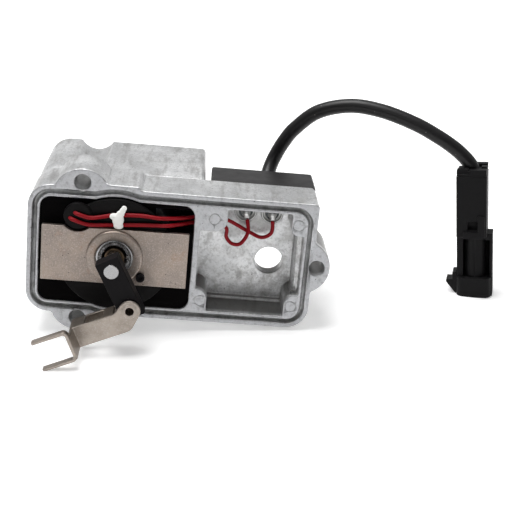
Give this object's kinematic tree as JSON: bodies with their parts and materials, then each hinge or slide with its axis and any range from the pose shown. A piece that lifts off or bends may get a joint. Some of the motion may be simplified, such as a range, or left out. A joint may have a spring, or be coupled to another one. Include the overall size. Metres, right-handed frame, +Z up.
{
  "type": "engine governor actuator",
  "caption": "Cast pump-top actuator: a limited-angle motor turns a lever and forked link out of its open face, with a short cable and sealed plug.",
  "frame": {"origin": "middle of the machined mounting face", "axes": "+X along the face from the motor to the wiring pocket, +Y back into the housing, +Z up"},
  "size_m": [0.2176, 0.1105, 0.1064],
  "materials": {
    "cast_aluminium": "as-cast, blasted",
    "seal_rubber": "matte",
    "black_compound": "satin",
    "nickel_steel": "dull nickel plate",
    "bearing_steel": "polished",
    "core_steel": "plain",
    "copper_wire": "enamelled",
    "black_oxide": "black oxide",
    "bright_steel": "ground",
    "red_insulation": "satin",
    "white_nylon": "satin",
    "sealing_glass": "fused",
    "tinned_metal": "tinned",
    "black_plastic": "semi-gloss",
    "cable_jacket": "satin",
    "contact_metal": "tinned brass"
  },
  "bodies": {
    "body": {"housing": "cast_aluminium", "wiring_box": "cast_aluminium", "motor_can": "cast_aluminium", "stator_core": "core_steel", "coil_winding": "copper_wire", "coil_bobbin": "black_compound", "potting": "black_compound", "pole_plate": "nickel_steel", "bearing_flange": "nickel_steel", "front_bearing_outer": "bearing_steel", "front_bearing_balls": "bearing_steel", "rear_bearing_outer": "bearing_steel", "rear_bearing_balls": "bearing_steel", "return_spring": "bright_steel", "stop_screw": "black_oxide", "lead_wire_a": "red_insulation", "lead_wire_b": "red_insulation", "cable_tie": "white_nylon", "terminal_shells": "tinned_metal", "terminal_glass": "sealing_glass", "terminal_pins": "tinned_metal", "terminal_cover": "black_plastic", "cable": "cable_jacket", "connector_body": "black_plastic", "connector_lock": "black_plastic", "connector_contacts": "contact_metal", "cable_seal": "seal_rubber"},
    "lever_shaft": {"shaft": "bright_steel", "rotor": "core_steel", "lever": "black_oxide", "front_bearing_inner": "bearing_steel", "rear_bearing_inner": "bearing_steel"},
    "fork_link": {"link": "nickel_steel", "pivot_eyelet": "nickel_steel"}
  },
  "joints": [
    {"name": "shaft_turn", "type": "hinge", "parent": "body", "child": "lever_shaft", "pos_m": [-0.0242, 0, 0], "axis": [0, 1, 0], "range_deg": [0, 25], "stiffness_Nm_per_rad": 0.4, "springref_deg": -28.65},
    {"name": "link_swing", "type": "hinge", "parent": "lever_shaft", "child": "fork_link", "pos_m": [-0.01561, 0, -0.0165], "axis": [0, 1, 0], "range_deg": [-35, 25]}
  ]
}
